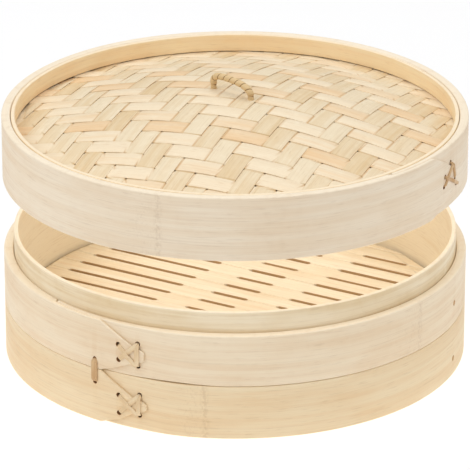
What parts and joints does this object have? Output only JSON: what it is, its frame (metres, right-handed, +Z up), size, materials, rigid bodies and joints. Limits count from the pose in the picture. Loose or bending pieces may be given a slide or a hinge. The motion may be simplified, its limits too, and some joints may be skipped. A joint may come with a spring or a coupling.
{
  "type": "bamboo steamer basket",
  "caption": "Round steamer tier with a slatted floor, stacked lapped outer bands and a tall inner collar, under a domed woven lid with a small loop handle.",
  "frame": {"origin": "centre of the footprint on the table, under the lower band", "axes": "+Z up along the axis of the rings; -Y is the side the picture is taken from"},
  "size_m": [0.254, 0.254, 0.1553],
  "materials": {
    "bamboo_band": "pale planed bamboo, fine grain round the band",
    "bamboo_hoop": "warmer planed bamboo, fine grain round the hoop",
    "bamboo_slat": "pale split bamboo, grain along each slat",
    "bamboo_weave": "thin bamboo strips of slightly different shades",
    "cane_lacing": "flat split cane, smooth",
    "bamboo_peg": "end grain, matt",
    "cane_handle": "cane wound round a cane core, satin"
  },
  "bodies": {
    "basket": {"cross_bar_left": "bamboo_slat", "cross_bar_right": "bamboo_slat", "floor_ledge_ring": "bamboo_slat", "inner_hoop": "bamboo_hoop", "lower_band_lacing": "cane_lacing", "lower_band_peg": "bamboo_peg", "lower_outer_band": "bamboo_band", "seam_lacing_back": "cane_lacing", "seam_lacing_front": "cane_lacing", "slat_01": "bamboo_slat", "slat_02": "bamboo_slat", "slat_03": "bamboo_slat", "slat_04": "bamboo_slat", "slat_05": "bamboo_slat", "slat_06": "bamboo_slat", "slat_07": "bamboo_slat", "slat_08": "bamboo_slat", "slat_09": "bamboo_slat", "slat_10": "bamboo_slat", "slat_11": "bamboo_slat", "slat_12": "bamboo_slat", "slat_13": "bamboo_slat", "slat_14": "bamboo_slat", "slat_15": "bamboo_slat", "slat_16": "bamboo_slat", "slat_17": "bamboo_slat", "slat_18": "bamboo_slat", "slat_19": "bamboo_slat", "upper_band_lacing": "cane_lacing", "upper_band_peg": "bamboo_peg", "upper_outer_band": "bamboo_band"},
    "lid": {"lid_band_lacing": "cane_lacing", "lid_lower_ring": "bamboo_hoop", "lid_outer_band": "bamboo_band", "lid_rib_centre": "bamboo_slat", "lid_rib_cross_back": "bamboo_slat", "lid_rib_cross_front": "bamboo_slat", "lid_upper_ring": "bamboo_hoop", "lid_woven_lining": "bamboo_weave", "lid_woven_top": "bamboo_weave", "handle_tie": "cane_lacing"},
    "handle": {"handle_loop": "cane_handle"}
  },
  "joints": [
    {"name": "lid_lift", "type": "slide", "parent": "basket", "child": "lid", "axis": [0, 0, 1], "range_m": [-0.0424, 0.15]},
    {"name": "handle_swing", "type": "hinge", "parent": "lid", "child": "handle", "pos_m": [-0.0015, 0.0046, 0.14776], "axis": [0.7396, -0.673, 0], "range_deg": [-60, 60]}
  ]
}
